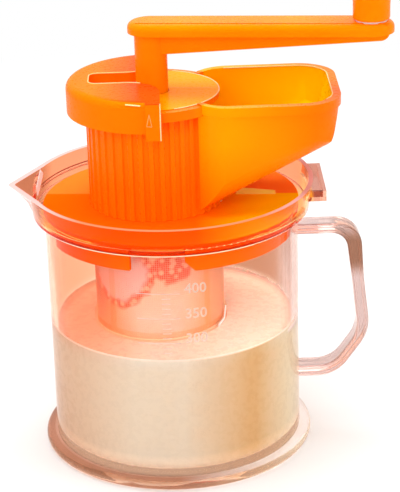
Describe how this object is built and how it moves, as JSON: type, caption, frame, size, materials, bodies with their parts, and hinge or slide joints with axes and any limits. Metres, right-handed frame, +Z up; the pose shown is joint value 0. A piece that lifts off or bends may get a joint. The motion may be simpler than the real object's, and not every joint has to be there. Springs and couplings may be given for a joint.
{
  "type": "manual juicer",
  "caption": "Hand-cranked juicer: a clear measuring jug with spout and handle under a press head with ribbed barrel, side hopper, auger and filter cup.",
  "frame": {"origin": "centre of the jug's foot ring, on the table", "axes": "+Z up, +X towards the handle and the hopper, -X towards the spout, -Y towards the front"},
  "size_m": [0.1366, 0.101, 0.1904],
  "materials": {
    "clear_plastic": "clear, polished",
    "orange_plastic": "glossy, slightly translucent",
    "strainer_plastic": "glossy",
    "nylon": "natural",
    "steel": "turned",
    "silicone": "soft, matt",
    "mesh": "fine woven screen"
  },
  "bodies": {
    "jug": {"measuring_jug": "clear_plastic", "jug_handle": "clear_plastic"},
    "head": {"base_plate": "orange_plastic"},
    "barrel": {"barrel_hopper": "orange_plastic", "strainer_seal": "silicone", "strainer_basket": "strainer_plastic", "thrust_washer": "nylon"},
    "lid": {"lid": "orange_plastic", "lid_bush": "nylon"},
    "screw": {"auger": "orange_plastic", "auger_tip_pin": "steel"},
    "crank": {"crank_arm": "orange_plastic", "drive_square": "steel", "knob_pin": "steel", "knob_washer": "nylon"},
    "grip": {"grip_knob": "orange_plastic", "grip_cap": "orange_plastic"},
    "cup": {"filter_frame": "clear_plastic", "filter_mesh": "mesh", "filter_floor": "clear_plastic"}
  },
  "joints": [
    {"name": "head_lift", "type": "slide", "parent": "jug", "child": "head", "axis": [0, 0, 1], "range_m": [0, 0.055]},
    {"name": "barrel_twist", "type": "hinge", "parent": "head", "child": "barrel", "pos_m": [-0.005, 0, 0.0916], "axis": [0, 0, 1], "range_deg": [0, 25]},
    {"name": "lid_twist", "type": "hinge", "parent": "barrel", "child": "lid", "pos_m": [-0.005, 0, 0.1312], "axis": [0, 0, 1], "range_deg": [0, 25]},
    {"name": "crank_spin", "type": "hinge", "parent": "barrel", "child": "screw", "pos_m": [-0.005, 0, 0.12], "axis": [0, 0, 1], "continuous": true},
    {"name": "crank_pull", "type": "slide", "parent": "screw", "child": "crank", "axis": [0, 0, 1], "range_m": [0, 0.035]},
    {"name": "knob_spin", "type": "hinge", "parent": "crank", "child": "grip", "pos_m": [0.06971, -0.00944, 0.1568], "axis": [0, 0, 1], "continuous": true},
    {"name": "filter_pull", "type": "slide", "parent": "head", "child": "cup", "axis": [0, 0, -1], "range_m": [0, 0.01]}
  ]
}
